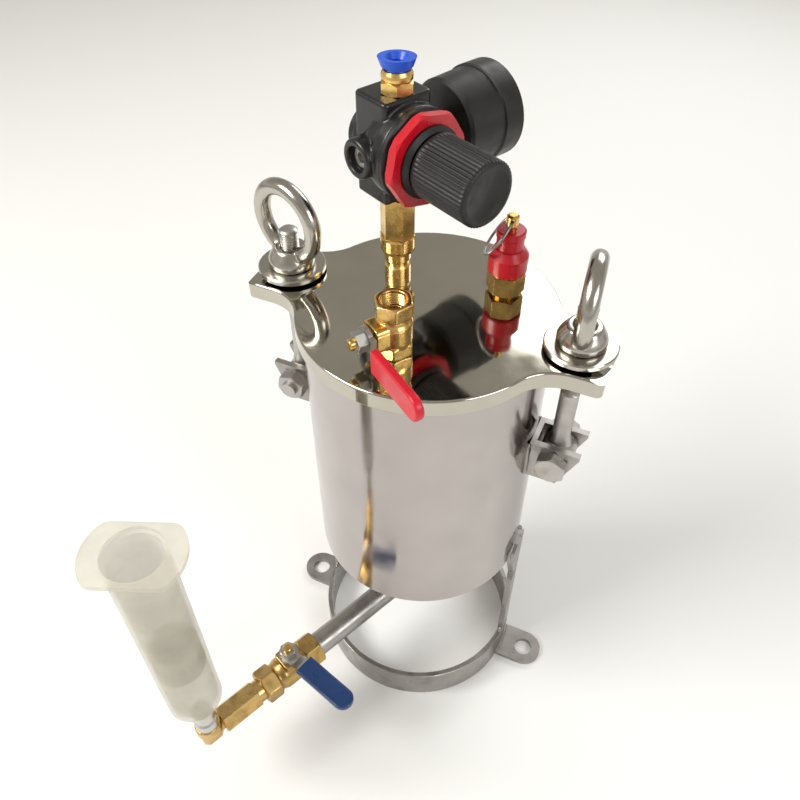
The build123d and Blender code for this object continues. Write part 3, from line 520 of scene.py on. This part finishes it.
def block(mesh, place, width, length, thickness):
    """A flat bar centred on a place, resting on its xy plane."""
    corners = [place @ Vector((x * width / 2, y * length / 2, z * thickness))
               for z in (0, 1) for x, y in ((-1, -1), (1, -1), (1, 1), (-1, 1))]
    verts = [mesh.verts.new(corner) for corner in corners]
    for face in ((3, 2, 1, 0), (4, 5, 6, 7), (0, 1, 5, 4), (1, 2, 6, 5), (2, 3, 7, 6), (3, 0, 4, 7)):
        mesh.faces.new([verts[k] for k in face])


mesh = bmesh.new()
divisions = 50
for mark in range(divisions + 1):
    angle = first_angle + (last_angle - first_angle) * mark / divisions
    major = mark % 5 == 0
    length = (2.2 if major else 1.2) * MM
    width = (0.42 if major else 0.20) * MM
    middle = scale_radius - length / 2
    spot = Matrix.Translation(Vector((middle * cos(angle), middle * sin(angle), 0)))
    block(mesh, dial_place @ spot @ Matrix.Rotation(angle - pi / 2, 4, "Z"), width, length, mark_thickness)
arc_steps = 90
for step in range(arc_steps):
    angle = first_angle + (last_angle - first_angle) * (step + 0.5) / arc_steps
    spot = Matrix.Translation(Vector((scale_radius * cos(angle), scale_radius * sin(angle), 0)))
    length = scale_radius * (first_angle - last_angle) / arc_steps * 1.02
    block(mesh, dial_place @ spot @ Matrix.Rotation(angle, 4, "Z"), 0.25 * MM, length, mark_thickness)
finish_piece(mesh, "gauge_scale", body_of["gauge_dial"], ink)

for number in range(0, 11, 2):
    angle = first_angle + (last_angle - first_angle) * number / 10
    text = bpy.data.curves.new(f"number_{number}", "FONT")
    text.body = str(number)
    text.size = 3.9 * MM
    text.align_x = "CENTER"
    text.align_y = "CENTER"
    text.extrude = mark_thickness / 2
    letter = bpy.data.objects.new(f"number_{number}", text)
    bpy.context.scene.collection.objects.link(letter)
    bpy.context.view_layer.update()
    data = bpy.data.meshes.new_from_object(letter)
    bpy.data.objects.remove(letter)
    ring = 10.9 * MM
    spot = Matrix.Translation((ring * cos(angle), ring * sin(angle), mark_thickness / 2))
    data.transform(dial_place @ spot)
    finish_mesh(data, f"gauge_number_{number}", body_of["gauge_dial"], ink)

# ---------------------------------------------------------------- weld beads on the vessel and stand

pot_low, pot_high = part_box("pot_shell")
pot_radius = pot_high.x
ring_low, ring_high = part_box("base_ring")
ring_radius = ring_high.x
legs_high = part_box("base_legs")[1]
leg_half = 9.0 * MM
leg_corner = 4 * MM
foot_half = 4.5 * MM
ear_half_width = 10.5 * MM
ear_top = 3.1 * MM


def on_wall(radius, angle, height):
    """A point round the pot's axis."""
    return Vector((radius * cos(angle), radius * sin(angle), height))


mesh = bmesh.new()
leg_shoulder = legs_high.z - leg_corner
for leg_angle in (0, pi / 2, pi):
    for turn_side in (-1, 1):
        spread = turn_side * (leg_half + 0.2 * MM) / pot_radius
        corner = turn_side * (leg_half - leg_corner) / pot_radius
        bead(mesh, [on_wall(pot_radius + 0.5 * MM, leg_angle + spread, pot_low.z + 2.5 * MM),
                    on_wall(pot_radius + 0.5 * MM, leg_angle + spread, leg_shoulder),
                    on_wall(pot_radius + 0.5 * MM, leg_angle + corner, legs_high.z)], 1.15 * MM)
        foot = turn_side * foot_half / ring_radius
        bead(mesh, [on_wall(ring_radius - 1.5 * MM, leg_angle + foot, ring_high.z + 2.5 * MM),
                    on_wall(ring_radius - 1.5 * MM, leg_angle + foot * 1.1, ring_high.z),
                    on_wall(ring_radius - 1.5 * MM, leg_angle + foot * 1.6, ring_high.z)], 1.2 * MM)
    foot = foot_half / ring_radius
    bead(mesh, [on_wall(ring_radius - 0.4 * MM, leg_angle + foot * (k / 3 - 1), ring_high.z) for k in range(7)],
         0.9 * MM)
for side in (0, pi):
    ear_edge = ear_half_width / ring_radius
    bead(mesh, [on_wall(ring_radius + 0.1 * MM, side + ear_edge * (k / 6 - 1), ear_top) for k in range(13)],
         1.0 * MM)
for side in ("left", "right"):
    low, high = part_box(f"{side}_bracket")
    direction = -1 if side == "left" else 1
    for edge in (low.y, high.y):
        reach = (pot_radius ** 2 - edge ** 2) ** 0.5
        outward = 0.9 * MM if edge > 0 else -0.9 * MM
        wall_x = direction * (reach + 0.4 * MM)
        bead_y = edge + outward * 0.4
        bead(mesh, [Vector((wall_x, bead_y, low.z + 0.5 * MM)), Vector((wall_x, bead_y, high.z - 0.5 * MM))],
             1.25 * MM)
pipe_radius = 6.75 * MM
bead(mesh, [on_wall(pipe_radius + 0.4 * MM, tau * k / 24, pot_low.z - 0.4 * MM) for k in range(25)], 1.3 * MM)
finish_piece(mesh, "weld_beads", "pot", weld, crease=60)

# ---------------------------------------------------------------- floor, light and camera

floor_mesh = bpy.data.meshes.new("floor")
half = 12.0
floor_corners = [(-half, -half, 0), (half, -half, 0), (half, half, 0), (-half, half, 0)]
floor_mesh.from_pydata(floor_corners, [], [(0, 1, 2, 3)])
floor = bpy.data.objects.new("floor", floor_mesh)
floor.location.z = min(0.0, cad_box[0].z) - 0.05 * MM
bpy.context.scene.collection.objects.link(floor)
floor_look = Look("floor_paper", (0.86, 0.86, 0.85), roughness=0.9)
floor_look.relief(floor_look.noise(400, 3), 0.00005, 0.3)
paint(floor, floor_look)

world = bpy.data.worlds.new("studio")
bpy.context.scene.world = world
world.use_nodes = True
sky = world.node_tree
direction = sky.nodes.new("ShaderNodeTexCoord")
split = sky.nodes.new("ShaderNodeSeparateXYZ")
height_ramp = sky.nodes.new("ShaderNodeValToRGB")
sky.links.new(direction.outputs["Generated"], split.inputs["Vector"])
sky.links.new(split.outputs["Z"], height_ramp.inputs["Fac"])
stops = height_ramp.color_ramp.elements
stops[0].position = 0.0
stops[0].color = (0.86, 0.86, 0.86, 1)
stops[1].position = 0.95
stops[1].color = (0.50, 0.48, 0.44, 1)
middle = stops.new(0.30)
middle.color = (0.46, 0.435, 0.375, 1)
sky.links.new(height_ramp.outputs["Color"], sky.nodes["Background"].inputs["Color"])
sky.nodes["Background"].inputs["Strength"].default_value = 0.9


def softbox(name, place, target, width, power, colour):
    lamp = bpy.data.lights.new(name, "AREA")
    lamp.shape = "RECTANGLE"
    lamp.size = width
    lamp.size_y = width * 0.7
    lamp.energy = power
    lamp.color = colour
    box = bpy.data.objects.new(name, lamp)
    box.location = place
    box.rotation_euler = (Vector(target) - Vector(place)).to_track_quat("-Z", "Y").to_euler()
    bpy.context.scene.collection.objects.link(box)


middle_height = (cad_box[0].z + cad_box[1].z) / 2
aim = (0, 0, middle_height)
softbox("key", (-0.75, -0.65, 1.15), aim, 0.7, 17, (1.0, 0.98, 0.95))
softbox("fill", (0.95, -0.35, 0.75), aim, 0.6, 4.5, (0.96, 0.98, 1.0))
softbox("back", (0.15, 1.15, 0.95), aim, 0.8, 6, (1.0, 1.0, 1.0))

CAMERA_AZIMUTH = radians(24.2)
CAMERA_ELEVATION = radians(45.4)
CAMERA_DISTANCE = 346.8 * MM
CAMERA_TARGET = Vector((-4.2, -20.1, 211.8)) * MM
FIELD_OF_VIEW = 2 * atan(400 / 768.75)
camera_data = bpy.data.cameras.new("camera")
camera_data.angle = FIELD_OF_VIEW
camera_data.clip_start = 0.01
camera = bpy.data.objects.new("camera", camera_data)
back = Vector((sin(CAMERA_AZIMUTH) * cos(CAMERA_ELEVATION), -cos(CAMERA_AZIMUTH) * cos(CAMERA_ELEVATION),
               sin(CAMERA_ELEVATION)))
camera.location = CAMERA_TARGET + back * CAMERA_DISTANCE
camera.rotation_euler = (-back).to_track_quat("-Z", "Y").to_euler()
bpy.context.scene.collection.objects.link(camera)
bpy.context.scene.camera = camera

bpy.context.scene.view_settings.view_transform = "Standard"
